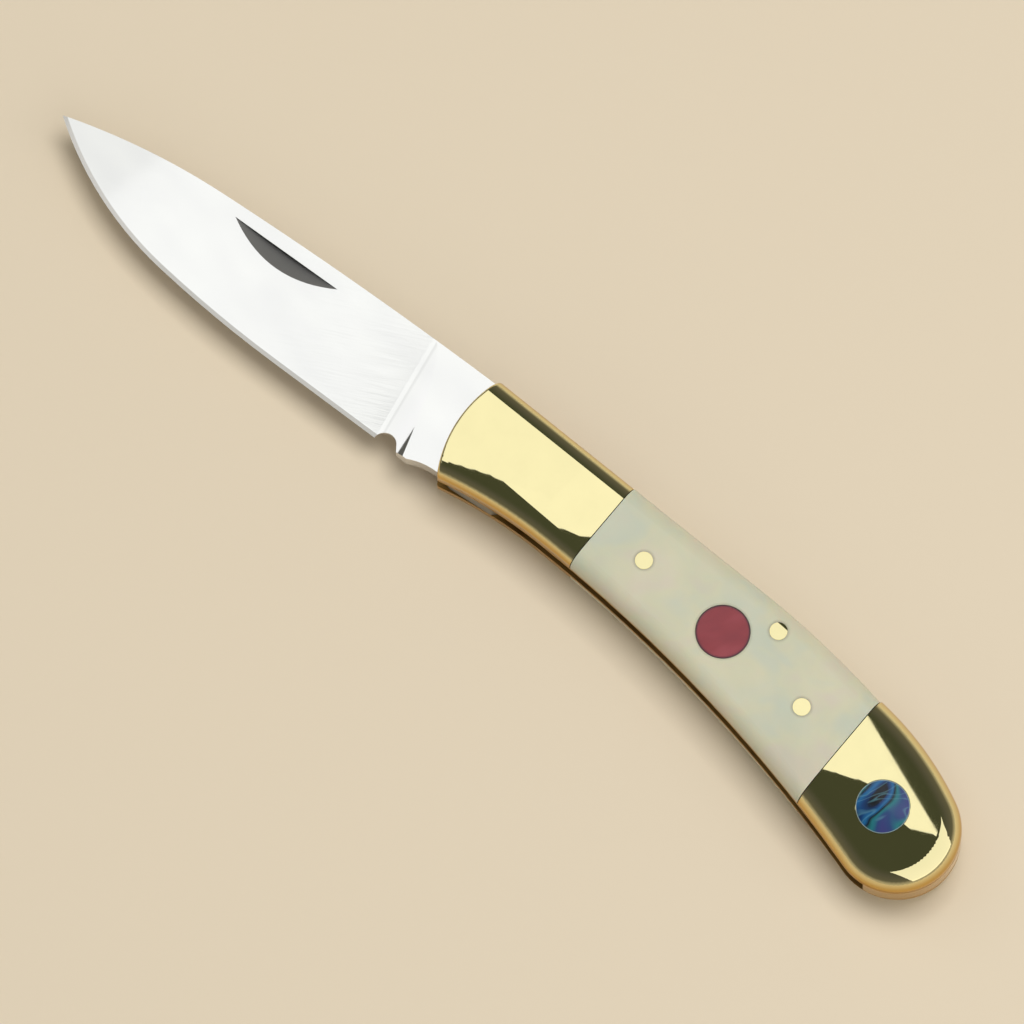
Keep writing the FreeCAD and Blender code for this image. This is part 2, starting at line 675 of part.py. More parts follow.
def nail_nick():
    """The wheel that cuts the nick: a straight steep wall and a floor that rises to the edge side."""
    wheel = doc.addObject("Part::Cone", "nick_wheel")
    wheel.setExpression("Radius1", NICK_WHEEL)
    wheel.setExpression("Radius2", f"{NICK_WHEEL} - 2 * sizes.nick_depth")
    wheel.setExpression("Height", "2 * sizes.nick_width")
    tilt = FreeCAD.Rotation(FreeCAD.Vector(1, 0, 0), 90 + Size.grind_angle)
    slope = FreeCAD.Rotation(FreeCAD.Vector(0, 0, 1), Size.nick_slope)
    wheel.Placement.Rotation = slope.multiply(tilt)
    stand = f"({NICK_WHEEL} - sizes.nick_depth)"
    face = "(sizes.edge_half_thickness + (sizes.nick_height + sizes.edge_depth) * tan(sizes.grind_angle))"
    lean = f"{stand} * sin(sizes.grind_angle)"
    return place(wheel, f"-sizes.nick_reach + {lean} * sin(sizes.nick_slope)",
                 f"sizes.nick_height - {lean} * cos(sizes.nick_slope)",
                 f"{MIDDLE} + {face} + {stand} * cos(sizes.grind_angle)")


def blade():
    grind = flat_grind()
    bevel = edge_bevel()
    sides = fuse("ground_sides", grind, new_mirror("pile_grind", grind))
    bevels = fuse("edge_bevels", bevel, new_mirror("pile_bevel", bevel))
    ground = common("ground_blade", blade_blank(), sides)
    sharpened = common("sharpened_blade", ground, bevels)
    hole = new_rod("blade_pivot_hole", "(sizes.pivot_radius + sizes.pivot_play)", "0", "0", "0", TOTAL)
    return cut("blade", sharpened, nail_nick(), hole)


# Backspring and tail spacer, which fill the slot along the spine and round the tail

def spring_blank():
    body = new_body("spring_blank", MIDDLE)
    sketch = new_sketch(body, "spring_outline")
    lap = math.radians(Size.closed_lap)
    top = Size.spine_height + Size.overrun
    front = -Size.tang_shoulder_reach + Size.working_gap
    head = Size.tang_flat + Size.working_gap
    arm = Size.kick_depth * math.cos(lap) - Size.kick_reach * math.sin(lap) + Size.working_gap
    ramp = Size.spring_head_length + Size.spring_ramp_length
    hump = point(Size.centre_pin_reach, Size.centre_pin_height)
    tail = point(Size.tip_sweep - 2 * Size.joint_line, -Size.spring_tail_depth)
    fall = hump.y - arm + Size.hump_blend_radius
    reach = math.sqrt((Size.hump_blend_radius + Size.hump_radius) ** 2 - fall ** 2)
    blend = point(hump.x - reach, arm - Size.hump_blend_radius)
    hump_start = hump + (blend - hump).normalize() * Size.hump_radius
    away = tail - hump
    hump_finish = hump + unit(angle_of(away) - math.acos(Size.hump_radius / away.Length)) * Size.hump_radius
    curves = draw(sketch, point(front, top), [
        line(point(front, head)),
        line(point(Size.spring_head_length, head)),
        line(point(ramp, arm)),
        line(point(blend.x, arm), smooth=True),
        arc(hump_start, blend, -1, smooth=True),
        arc(hump_finish, hump, 1, smooth=True),
        line(tail),
        line(point(tail.x, top)),
        line(point(front, top)),
    ])
    end, seat, rise, face, fillet, knob, back, butt, spine = (curve[0] for curve in curves)
    for upright in (end, butt):
        sketch.addConstraint(Sketcher.Constraint("Vertical", upright))
    for level in (seat, face, spine):
        sketch.addConstraint(Sketcher.Constraint("Horizontal", level))
    hold_point(sketch, end, 1, "-sizes.tang_shoulder_reach + sizes.working_gap",
               "sizes.spine_height + sizes.overrun")
    hold_point(sketch, seat, 2, "sizes.spring_head_length", "sizes.tang_flat + sizes.working_gap")
    hold_point(sketch, rise, 2, "sizes.spring_head_length + sizes.spring_ramp_length",
               "sizes.kick_depth * cos(sizes.closed_lap) - sizes.kick_reach * sin(sizes.closed_lap)"
               " + sizes.working_gap")
    hold_radius(sketch, fillet, "sizes.hump_blend_radius")
    hold_radius(sketch, knob, "sizes.hump_radius")
    hold_point(sketch, knob, 3, CENTRE_PIN_REACH, CENTRE_PIN_HEIGHT)
    hold_point(sketch, back, 2, f"{TIP_SWEEP} - 2 * sizes.joint_line", "-sizes.spring_tail_depth")
    new_pad(body, sketch, "spring_plate", SLOT, symmetric=True)
    return body


def new_hole(name, pin, bottom, top):
    """A hole for one of the pins, with its fit."""
    radius, x, y = PINS[pin]
    return new_rod(name, f"({radius} + sizes.pin_fit)", x, y, bottom, top)


def backspring(envelope):
    flush = common("flush_spring", envelope, spring_blank())
    holes = [new_hole(f"{pin}_spring_hole", pin, "0", TOTAL) for pin in ("spring_centre", "spring_end")]
    return cut("backspring", flush, *holes)


def tail_spacer(envelope):
    layer = zone("spacer_zone", "0", f"({TAIL_END} + sizes.overrun)", WALL, MARK_LINER)
    sweep = new_rod("tip_sweep", TIP_SWEEP, "0", "0", "0", TOTAL)
    hole = new_hole("tail_spacer_hole", "tail", "0", TOTAL)
    return cut("tail_spacer", common("spacer_layer", envelope, layer), sweep, hole)


def hidden_pin(name, pin):
    """A pin across the whole handle that ends inside the bolsters and doesn't show."""
    radius, x, y = PINS[pin]
    return new_rod(name, radius, x, y, "sizes.pin_cover", f"({TOTAL} - sizes.pin_cover)")


def flush_pin(name, pin, bottom, envelope):
    """A pin that is ground flush with the handle's face."""
    radius, x, y = PINS[pin]
    blank = new_rod(f"{name}_blank", radius, x, y, bottom, f"({TOTAL} + sizes.overrun)")
    return common(name, blank, envelope)


def mark_side(envelope):
    """The liner, bolsters, scale, scale pins and inlays of the side that faces up."""
    before = f"(-{TAIL_END})"
    beyond = f"({TAIL_END} + sizes.overrun)"
    above = f"({TOTAL} + sizes.overrun)"
    blind = f"({TOTAL} - sizes.pin_cover)"
    half_line = "sizes.joint_line / 2"
    front = (before, f"(sizes.front_joint_reach - {half_line})")
    middle = (f"(sizes.front_joint_reach + {half_line})", f"({REAR_JOINT} - {half_line})")
    rear = (f"({REAR_JOINT} + {half_line})", beyond)
    liner = common("liner_layer", envelope, zone("liner_zone", before, beyond, MARK_LINER, MARK_SLAB))
    pieces = [cut("mark_liner", liner, *[new_hole(f"{pin}_liner_hole", pin, "0", TOTAL) for pin in PINS])]
    slab = common("front_slab", envelope, zone("front_zone", *front, MARK_SLAB, above))
    pieces.append(cut("mark_front_bolster", slab, new_hole("pivot_bolster_hole", "pivot", "0", blind)))
    pockets = {}
    for inlay, (x, y) in INLAYS.items():
        radius = "(sizes.inlay_radius + sizes.inlay_fit)"
        pockets[inlay] = new_rod(f"{inlay}_pocket", radius, x, y, INLAY_FLOOR, above)
        disc = new_rod(f"{inlay}_blank", "sizes.inlay_radius", x, y, INLAY_FLOOR, above)
        pieces.append(common(f"mark_{inlay}", disc, envelope))
    slab = common("scale_slab", envelope, zone("scale_zone", *middle, MARK_SLAB, above))
    holes = [new_hole(f"{pin}_scale_hole", pin, "0", above)
             for pin in ("spring_centre", "front_scale", "rear_scale")]
    pieces.append(cut("mark_scale", slab, pockets["red_inlay"], *holes))
    slab = common("rear_slab", envelope, zone("rear_zone", *rear, MARK_SLAB, above))
    holes = [new_hole(f"{pin}_bolster_hole", pin, "0", blind) for pin in ("spring_end", "tail")]
    pieces.append(cut("mark_rear_bolster", slab, pockets["shell_inlay"], *holes))
    for pin in ("front_scale", "rear_scale"):
        pieces.append(flush_pin(f"mark_{pin}_pin", pin, MARK_LINER, envelope))
    return pieces


def main():
    envelope = handle_envelope()
    mark = mark_side(envelope)
    pile = [new_mirror(piece.Name.replace("mark_", "pile_"), piece) for piece in mark]
    nodes = [blade(), backspring(envelope), tail_spacer(envelope)]
    nodes.append(hidden_pin("pivot_pin", "pivot"))
    nodes.append(hidden_pin("spring_end_pin", "spring_end"))
    nodes.append(hidden_pin("tail_pin", "tail"))
    nodes.append(flush_pin("spring_centre_pin", "spring_centre", "0", envelope))
    nodes += mark + pile
    doc.recompute()
    for item in doc.Objects:
        if "Invalid" in item.State or "Error" in item.State:
            raise RuntimeError(f"{item.Name} failed: {item.State}")
    for node in nodes:
        node.Label = node.Name
        if node.Shape.isNull() or not node.Shape.isValid():
            raise RuntimeError(f"{node.Label} has no valid shape")
    os.makedirs("parts", exist_ok=True)
    for node in nodes:
        node.Shape.exportStep(f"parts/{node.Label}.step")
        print(f"{node.Label}: {len(node.Shape.Solids)} solid, {node.Shape.Volume:.2f} mm3")


main()
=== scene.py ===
import math

import bpy
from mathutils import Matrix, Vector


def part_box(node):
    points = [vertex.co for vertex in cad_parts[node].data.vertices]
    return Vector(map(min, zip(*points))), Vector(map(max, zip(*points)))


# A folding pocket knife, open and lying on its pile side: polished steel, brass, pearl and inlaid discs.
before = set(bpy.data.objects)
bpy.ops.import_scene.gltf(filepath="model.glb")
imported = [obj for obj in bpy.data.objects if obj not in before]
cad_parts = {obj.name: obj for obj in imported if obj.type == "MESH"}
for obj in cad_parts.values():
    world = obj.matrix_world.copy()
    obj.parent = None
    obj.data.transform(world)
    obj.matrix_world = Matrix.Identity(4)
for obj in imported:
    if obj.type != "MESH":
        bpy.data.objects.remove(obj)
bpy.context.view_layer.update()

MM = 0.001
PER_MM = 1000.0

# Where the photograph was taken from, in degrees and metres, and the point in the middle of its frame.
CAMERA_AZIMUTH = 39.5
CAMERA_ELEVATION = 76.0
CAMERA_DISTANCE = 3.2
CAMERA_NEAR = 0.01
CAMERA_FAR = 20.0
FRAME_WIDTH = 116.1 * MM
FRAME_CENTRE = Vector((5.2, -2.9, 5.0)) * MM
SENSOR_WIDTH = 36.0

# Pieces by the finish that they wear; the mark side lies up and the pile side down.
SIDES = ("mark", "pile")
POLISHED_BRASS_NODES = [f"{side}_{piece}" for side in SIDES
                        for piece in ("front_bolster", "rear_bolster", "front_scale_pin", "rear_scale_pin")]
POLISHED_BRASS_NODES += ["spring_centre_pin", "tail_spacer"]
SATIN_BRASS_NODES = [f"{side}_liner" for side in SIDES]
SPRING_STEEL_NODES = ["backspring", "pivot_pin", "spring_end_pin", "tail_pin"]
SCALE_NODES = [f"{side}_scale" for side in SIDES]
RED_NODES = [f"{side}_red_inlay" for side in SIDES]
SHELL_NODES = [f"{side}_shell_inlay" for side in SIDES]
# What is set in the mark scale; the pile scale has the same at the same places.
INSETS = ["mark_front_scale_pin", "mark_rear_scale_pin", "spring_centre_pin", "mark_red_inlay"]

# Where small faces of the blade lie, in millimetres: the nail nick along Y, and the tang along X.
NICK_REACH = (2.0, 5.0)
TANG_REACH = (-3.4, 9.0)

# Sockets of a Mix node by number, because those for colours and for values share their names.
MIX_SHARE = 0
FIRST_VALUE = 2
SECOND_VALUE = 3
FIRST_COLOUR = 6
SECOND_COLOUR = 7
MIXED_VALUE = 0
MIXED_COLOUR = 2

# The light, in metres and degrees. A lamp of radiance 1 mirrors as white.
FLOOR_REACH = 3.0
PANEL_HEIGHT = 0.8
STRIP_HEIGHT = 0.25
BORDER_TURN = -5.75
# Level panels that the polished faces mirror, each ending where a bright reflection of the photograph ends:
# name, middle in x and y, width and depth, radiance, turn, height.
LEVEL_PANELS = [
    ("blade_panel", (-0.1750, 0.0953), (0.105, 0.3015), 1.07, BORDER_TURN, PANEL_HEIGHT),
    ("point_panel", (-0.2672, 0.0040), (0.06, 0.5), 0.93, BORDER_TURN, PANEL_HEIGHT),
    ("plunge_panel", (-0.7448, 0.0521), (0.90, 0.5), 1.03, BORDER_TURN, PANEL_HEIGHT),
    ("front_panel", (-0.11098, 0.15547), (0.0104, 0.1689), 1.09, BORDER_TURN, PANEL_HEIGHT),
    ("pin_panel", (-0.0900, 0.1525), (0.027, 0.045), 1.04, 0.0, PANEL_HEIGHT),
    ("rear_spine_panel", (-0.05201, 0.14330), (0.05335, 0.02), 1.08, -20.4, PANEL_HEIGHT),
    ("rear_joint_panel", (-0.07089, 0.06352), (0.02, 0.1458), 1.08, -5.55, PANEL_HEIGHT),
    ("rear_tail_panel", (-0.0497, 0.1011), (0.008, 0.0606), 1.08, -4.2, PANEL_HEIGHT),
    ("edge_strip", (-0.0865, -0.1315), (0.085, 0.014), 0.78, 0.0, STRIP_HEIGHT),
    ("point_edge_strip", (-0.1680, -0.1190), (0.115, 0.024), 0.78, -16.3, STRIP_HEIGHT),
]
# Softboxes that lean:
# name, middle, direction of the light, width and depth, radiance, whether metal mirrors it.
LEANING_SOFTBOXES = [
    ("tail_panel", (0.36, -0.04, 0.45), (-0.8, 0.0, -0.6), (0.75, 0.87), 1.0, True),
    ("wide_fill", (0.0, 0.30, 1.12), (0.0, -0.30, -1.12), (0.6, 0.6), 6.8, False),
    ("belly_fill", (0.1, -0.9, 0.5), (-0.1, 0.9, -0.45), (1.0, 0.5), 0.45, False),
]


def to_linear(code):
    """An sRGB hex colour as linear red, green and blue, with full alpha."""
    channels = [int(code[place:place + 2], 16) / 255 for place in (1, 3, 5)]
    linear = [c / 12.92 if c <= 0.04045 else ((c + 0.055) / 1.055) ** 2.4 for c in channels]
    return (*linear, 1.0)


def add(tree, kind, inputs=None, **settings):
    """Add a node, give it its settings, and fill or join its inputs."""
    made = tree.nodes.new(kind)
    for name, value in settings.items():
        setattr(made, name, value)
    for name, value in (inputs or {}).items():
        if isinstance(value, bpy.types.NodeSocket):
            tree.links.new(value, made.inputs[name])
        else:
            made.inputs[name].default_value = value
    return made


def colour_stops(ramp, stops):
    """Give a colour ramp its stops, each a place and a hex colour."""
    elements = ramp.color_ramp.elements
    while len(elements) < len(stops):
        elements.new(1.0)
    for element, (place, code) in zip(elements, stops):
        element.position = place
        element.color = to_linear(code)


def new_material(name):
    """An empty node material and its tree."""
    material = bpy.data.materials.new(name)
    material.use_nodes = True
    material.node_tree.nodes.clear()
    return material, material.node_tree


def in_millimetres(tree):
    """The surface's own coordinates in millimetres."""
    coordinates = add(tree, "ShaderNodeTexCoord")
    return add(tree, "ShaderNodeVectorMath", {0: coordinates.outputs["Object"], "Scale": PER_MM},
               operation="SCALE").outputs[0]


def surface_lean(tree):
    """The surface's own normal, split into X, Y and Z."""
    coordinates = add(tree, "ShaderNodeTexCoord")
    return add(tree, "ShaderNodeSeparateXYZ", {0: coordinates.outputs["Normal"]}).outputs


def levelness(tree, lean):
    """How level the surface is: 1 for a level face, and 0 for an upright one."""
    return add(tree, "ShaderNodeMath", {0: lean["Z"]}, operation="ABSOLUTE").outputs[0]


def stretched(tree, place, turn, pitch):
    """Coordinates whose unit is the pitch in millimetres along each axis, after a turn about Z."""
    turned = add(tree, "ShaderNodeVectorRotate", {"Vector": place, "Angle": math.radians(turn)},
                 rotation_type="Z_AXIS")
    scale = tuple(1 / size for size in pitch)
    return add(tree, "ShaderNodeVectorMath", {0: turned.outputs[0], 1: scale},
               operation="MULTIPLY").outputs[0]


def within(tree, value, low=-2.0, high=2.0):
    """1 where a value lies between two limits, and 0 elsewhere; a normal never reaches a limit left out."""
    over = add(tree, "ShaderNodeMath", {0: value, 1: low}, operation="GREATER_THAN").outputs[0]
    under = add(tree, "ShaderNodeMath", {0: value, 1: high}, operation="LESS_THAN").outputs[0]
    return add(tree, "ShaderNodeMath", {0: over, 1: under}, operation="MULTIPLY").outputs[0]


def mirror_steel():
    """Stainless blade steel, flat ground and buffed to a mirror: white reflections with faint hairlines."""
    material, tree = new_material("mirror_polished_stainless_steel")
    place = in_millimetres(tree)
    # Buffing hairlines run across the blade; real ones are finer, and are drawn 0.12 mm wide to show.
    hairlines = add(tree, "ShaderNodeTexNoise", {
        "Vector": stretched(tree, place, turn=64, pitch=(0.12, 6.0, 6.0)), "Scale": 1.0, "Detail": 3.0})
    # Soft waves from the wheel, about 9 mm long.
    waves = add(tree, "ShaderNodeTexNoise", {
        "Vector": stretched(tree, place, turn=10, pitch=(9.0, 5.0, 5.0)), "Scale": 1.0, "Detail": 1.0})
    roughness = add(tree, "ShaderNodeMapRange", {
        "Value": hairlines.outputs["Fac"], "From Min": 0.3, "From Max": 0.7,
        "To Min": 0.04, "To Max": 0.08})
    tone = add(tree, "ShaderNodeValToRGB", {"Fac": waves.outputs["Fac"]})
    colour_stops(tone, [(0.3, "#E8E8E8"), (0.7, "#EEEEED")])
    height = add(tree, "ShaderNodeMath", {0: waves.outputs["Fac"], 1: 6.0, 2: hairlines.outputs["Fac"]},
                 operation="MULTIPLY_ADD")
    bump = add(tree, "ShaderNodeBump", {
        "Height": height.outputs[0], "Strength": 0.02, "Distance": 0.003 * MM})
    # The small faces of the blade aren't buffed, and the nick's steep wall carries painted shade. Each is
    # known by its lean and by where it lies.
    lean = surface_lean(tree)
    level = levelness(tree, lean)
    where = add(tree, "ShaderNodeSeparateXYZ", {0: place}).outputs
    upright = within(tree, level, high=0.5)
    flat = within(tree, level, low=0.5)
    small_faces = [
        # The nail nick's floor keeps the wheel's grey milled finish, and its steep wall is painted dark
        # grey as painted shade.
        (flat, within(tree, lean["Y"], low=0.2), "#D4D2D2", 0.45),
        (within(tree, where["Y"], *NICK_REACH), within(tree, lean["Y"], high=-0.5), "#3E3E3E", 0.3),
        # The cutting edge is stoned, and the tang's upright faces are left as ground, and their darker grey
        # is painted shade of the slot.
        (flat, within(tree, lean["Y"], -0.5, -0.2), "#E4E1DC", 0.09),
        (upright, within(tree, where["X"], *TANG_REACH), "#8C8982", 0.5),
    ]
    colour, finish = tone.outputs["Color"], roughness.outputs[0]
    for first, second, code, rough in small_faces:
        share = add(tree, "ShaderNodeMath", {0: first, 1: second}, operation="MULTIPLY").outputs[0]
        colour = add(tree, "ShaderNodeMix", {
            MIX_SHARE: share, FIRST_COLOUR: colour, SECOND_COLOUR: to_linear(code)},
            data_type="RGBA").outputs[MIXED_COLOUR]
        finish = add(tree, "ShaderNodeMix", {
            MIX_SHARE: share, FIRST_VALUE: finish, SECOND_VALUE: rough}).outputs[MIXED_VALUE]
    shader = add(tree, "ShaderNodeBsdfPrincipled", {
        "Base Color": colour, "Metallic": 1.0, "Roughness": finish, "Normal": bump.outputs[0]})
    add(tree, "ShaderNodeOutputMaterial", {"Surface": shader.outputs[0]})
    return material


def satin_steel():
    """Spring steel, ground and left satin: grey, with lines along the spring."""
    material, tree = new_material("satin_ground_spring_steel")
    place = in_millimetres(tree)
    # Grinding lines, about 8 mm long; real ones are finer, and are drawn 0.1 mm wide to show.
    lines = add(tree, "ShaderNodeTexNoise", {
        "Vector": stretched(tree, place, turn=0, pitch=(8.0, 0.1, 0.1)), "Scale": 1.0, "Detail": 4.0})
    roughness = add(tree, "ShaderNodeMapRange", {
        "Value": lines.outputs["Fac"], "From Min": 0.3, "From Max": 0.7, "To Min": 0.22, "To Max": 0.36})
    tone = add(tree, "ShaderNodeValToRGB", {"Fac": lines.outputs["Fac"]})
    colour_stops(tone, [(0.3, "#B9B8B4"), (0.7, "#D0CFCB")])
    bump = add(tree, "ShaderNodeBump", {
        "Height": lines.outputs["Fac"], "Strength": 0.2, "Distance": 0.004 * MM})
    shader = add(tree, "ShaderNodeBsdfPrincipled", {
        "Base Color": tone.outputs["Color"], "Metallic": 1.0, "Roughness": roughness.outputs[0],
        "Normal": bump.outputs[0]})
    add(tree, "ShaderNodeOutputMaterial", {"Surface": shader.outputs[0]})
    return material


def brass(name, rough, face_code, wall_code):
    """Yellow brass, buffed or satin: its level faces and its walls are given two tones of gold by their
    lean, as painted light and shade.
    """
    material, tree = new_material(name)
    place = in_millimetres(tree)
    # Painted light and shade: level faces take the face tone and upright walls the wall tone.
    painted_light_share = add(tree, "ShaderNodeMapRange", {
        "Value": levelness(tree, surface_lean(tree)), "From Min": 0.25, "From Max": 0.75},
        interpolation_type="SMOOTHSTEP")
    # Cloudy handling tarnish, in patches about 3 mm wide.
    clouds = add(tree, "ShaderNodeTexNoise", {
        "Vector": stretched(tree, place, turn=25, pitch=(3.0, 3.0, 3.0)), "Scale": 1.0, "Detail": 4.0})
    # Wiping scratches; real ones are finer, and are drawn 0.06 mm wide to show.
    scratches = add(tree, "ShaderNodeTexNoise", {
        "Vector": stretched(tree, place, turn=37, pitch=(4.0, 0.06, 4.0)), "Scale": 1.0, "Detail": 2.0})
    tone = add(tree, "ShaderNodeMix", {
        MIX_SHARE: painted_light_share.outputs[0], FIRST_COLOUR: to_linear(wall_code),
        SECOND_COLOUR: to_linear(face_code)}, data_type="RGBA")
    aged = add(tree, "ShaderNodeMapRange", {
        "Value": clouds.outputs["Fac"], "From Min": 0.35, "From Max": 0.75, "To Min": 1.0, "To Max": 0.97})
    colour = add(tree, "ShaderNodeVectorMath", {
        0: tone.outputs[MIXED_COLOUR], "Scale": aged.outputs[0]}, operation="SCALE")
    roughness = add(tree, "ShaderNodeMapRange", {
        "Value": clouds.outputs["Fac"], "From Min": 0.3, "From Max": 0.7,
        "To Min": rough, "To Max": rough * 1.8})
    bump = add(tree, "ShaderNodeBump", {
        "Height": scratches.outputs["Fac"], "Strength": 0.0015, "Distance": 0.003 * MM})
    shader = add(tree, "ShaderNodeBsdfPrincipled", {
        "Base Color": colour.outputs[0], "Metallic": 1.0, "Roughness": roughness.outputs[0],
        "Normal": bump.outputs[0]})
    add(tree, "ShaderNodeOutputMaterial", {"Surface": shader.outputs[0]})
    return material


def ringed(tree, place, node, colour, code, clear, full, strength=1.0, edge="SMOOTHSTEP"):
    """A colour that turns to another in a ring at a disc's rim.

    The ring starts at clear and has its strength at full, both in millimetres out from the rim.
    """
    low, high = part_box(node)
    centre = (low + high) / 2 * PER_MM
    radius = (high.x - low.x) / 2 * PER_MM
    offset = add(tree, "ShaderNodeVectorMath", {0: place, 1: tuple(centre)}, operation="SUBTRACT")
    flat = add(tree, "ShaderNodeVectorMath", {0: offset.outputs[0], 1: (1, 1, 0)}, operation="MULTIPLY")
    length = add(tree, "ShaderNodeVectorMath", {0: flat.outputs[0]}, operation="LENGTH")
    share = add(tree, "ShaderNodeMapRange", {
        "Value": length.outputs["Value"], "From Min": radius + clear, "From Max": radius + full,
        "To Max": strength}, interpolation_type=edge)
    return add(tree, "ShaderNodeMix", {
        MIX_SHARE: share.outputs[0], FIRST_COLOUR: colour, SECOND_COLOUR: to_linear(code)},
        data_type="RGBA").outputs[MIXED_COLOUR]


def pearl_acetate():
    """Pearl cellulose acetate, cast with drifting flake and polished: soft green, cream and rose clouds."""
    material, tree = new_material("cast_pearl_acetate")
    place = in_millimetres(tree)
    # Clouds about 9 mm long and drifts of flake about 6 mm long.
    clouds = add(tree, "ShaderNodeTexNoise", {
        "Vector": stretched(tree, place, turn=48, pitch=(9.0, 6.0, 6.0)), "Scale": 1.0, "Detail": 2.0,
        "Roughness": 0.45, "Distortion": 0.4})
    drift = add(tree, "ShaderNodeTexNoise", {
        "Vector": stretched(tree, place, turn=-20, pitch=(6.0, 4.0, 4.0)), "Scale": 1.0, "Detail": 2.0,
        "Roughness": 0.4, "Distortion": 0.6})
    ground = add(tree, "ShaderNodeValToRGB", {"Fac": clouds.outputs["Fac"]})
    colour_stops(ground, [(0.32, "#BCC0AC"), (0.5, "#C8C6AE"), (0.68, "#D0CBB3")])
    warm = add(tree, "ShaderNodeValToRGB", {"Fac": drift.outputs["Fac"]})
    colour_stops(warm, [(0.35, "#BFC3B1"), (0.5, "#CCC8A8"), (0.68, "#CCBEAE")])
    colour = add(tree, "ShaderNodeMix", {
        MIX_SHARE: 0.5, FIRST_COLOUR: ground.outputs["Color"], SECOND_COLOUR: warm.outputs["Color"]},
        data_type="RGBA").outputs[MIXED_COLOUR]
    # A grey ring, 0.4 mm wide, round what is set in the scale is painted shade.
    for node in INSETS:
        colour = ringed(tree, place, node, colour, "#948A72", clear=0.4, full=0.0, strength=0.5)
    shader = add(tree, "ShaderNodeBsdfPrincipled", {
        "Base Color": colour, "Roughness": 0.34, "IOR": 1.48, "Coat Weight": 0.35,
        "Coat Roughness": 0.12, "Subsurface Weight": 0.12, "Subsurface Scale": 1.2 * MM})
    add(tree, "ShaderNodeOutputMaterial", {"Surface": shader.outputs[0]})
    return material


def red_resin(node):
    """Raspberry-red casting resin, polished flush: even colour with a slight cloud, darker at the rim."""
    material, tree = new_material("cast_red_resin")
    place = in_millimetres(tree)
    # Streaky clouds, about 2.4 mm wide.
    clouds = add(tree, "ShaderNodeTexNoise", {
        "Vector": stretched(tree, place, turn=30, pitch=(2.4, 5.0, 5.0)), "Scale": 1.0, "Detail": 2.0})
    tone = add(tree, "ShaderNodeValToRGB", {"Fac": clouds.outputs["Fac"]})
    colour_stops(tone, [(0.3, "#7B2933"), (0.5, "#852E36"), (0.7, "#923A42")])
    # The disc darkens over its outer 0.3 mm.
    colour = ringed(tree, place, node, tone.outputs["Color"], "#4A2430", clear=-0.3, full=0.0)
    shader = add(tree, "ShaderNodeBsdfPrincipled", {
        "Base Color": colour, "Roughness": 0.28, "IOR": 1.54, "Coat Weight": 0.25, "Coat Roughness": 0.1})
    add(tree, "ShaderNodeOutputMaterial", {"Surface": shader.outputs[0]})
    return material


def abalone_shell(node):
    """Polished abalone shell: nacre in swirling blue, teal and violet plates between dark growth lines."""
    material, tree = new_material("polished_abalone_shell")
    place = in_millimetres(tree)
    # Plates about 5.4 mm long and 3 mm wide lie across the handle.
    plates = add(tree, "ShaderNodeTexNoise", {
        "Vector": stretched(tree, place, turn=-84, pitch=(5.4, 3.0, 3.0)), "Scale": 1.0, "Detail": 0.5,
        "Distortion": 0.5})
    nacre = add(tree, "ShaderNodeValToRGB", {"Fac": plates.outputs["Fac"]})
    colour_stops(nacre, [(0.28, "#060C16"), (0.36, "#0B3A6E"), (0.43, "#15649A"), (0.48, "#081826"),
                         (0.53, "#1F757D"), (0.6, "#2C4478"), (0.7, "#413C7C")])
    # Pale growth lines, about 0.2 mm wide.
    growth = add(tree, "ShaderNodeTexNoise", {
        "Vector": stretched(tree, place, turn=-54, pitch=(5.0, 1.8, 1.8)), "Scale": 1.0, "Detail": 1.0,
        "Distortion": 0.8})
    ridge = add(tree, "ShaderNodeValToRGB", {"Fac": growth.outputs["Fac"]})
    colour_stops(ridge, [(0.52, "#000000"), (0.56, "#B0B0B0"), (0.58, "#000000")])
    veined = add(tree, "ShaderNodeMix", {
        MIX_SHARE: ridge.outputs["Color"], FIRST_COLOUR: nacre.outputs["Color"],
        SECOND_COLOUR: to_linear("#5C97A6")}, data_type="RGBA")
    # A thin pale line at the rim is a painted highlight.
    colour = ringed(tree, place, node, veined.outputs[MIXED_COLOUR], "#8FA3A0", clear=-0.12, full=-0.05,
                    edge="LINEAR")
    shader = add(tree, "ShaderNodeBsdfPrincipled", {
        "Base Color": colour, "Roughness": 0.22, "IOR": 1.53, "Metallic": 0.25,
        "Coat Weight": 0.6, "Coat Roughness": 0.06})
    add(tree, "ShaderNodeOutputMaterial", {"Surface": shader.outputs[0]})
    return material


def dress(nodes, material):
    """Give CAD nodes a material in their own slots."""
    for node in nodes:
        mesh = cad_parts[node].data
        for place in range(len(mesh.materials)):
            mesh.materials[place] = material


def pale_floor():
    """Matt painted board, warm and pale: it shows nothing of its own but the shadow."""
    material, tree = new_material("pale_matt_floor")
    shader = add(tree, "ShaderNodeBsdfPrincipled", {
        "Base Color": to_linear("#DECFB7"), "Roughness": 0.8, "Specular IOR Level": 0.2})
    add(tree, "ShaderNodeOutputMaterial", {"Surface": shader.outputs[0]})
    return material


def floor():
    """A plain level floor under the knife."""
    corners = [(-1, -1, 0), (1, -1, 0), (1, 1, 0), (-1, 1, 0)]
    mesh = bpy.data.meshes.new("floor")
    mesh.from_pydata([Vector(corner) * FLOOR_REACH for corner in corners], [], [(0, 1, 2, 3)])
    plane = bpy.data.objects.new("floor", mesh)
    bpy.context.scene.collection.objects.link(plane)
    mesh.materials.append(pale_floor())


def softbox(name, centre, size, radiance, mirrored=True):
    """A rectangular soft light at a place, shining down."""
    width, depth = size
    data = bpy.data.lights.new(name, "AREA")
    data.shape = "RECTANGLE"
    data.size = width
    data.size_y = depth
    data.energy = radiance * math.pi * width * depth
    lamp = bpy.data.objects.new(name, data)
    bpy.context.scene.collection.objects.link(lamp)
    lamp.location = centre
    lamp.visible_camera = False
    lamp.visible_glossy = mirrored
    return lamp


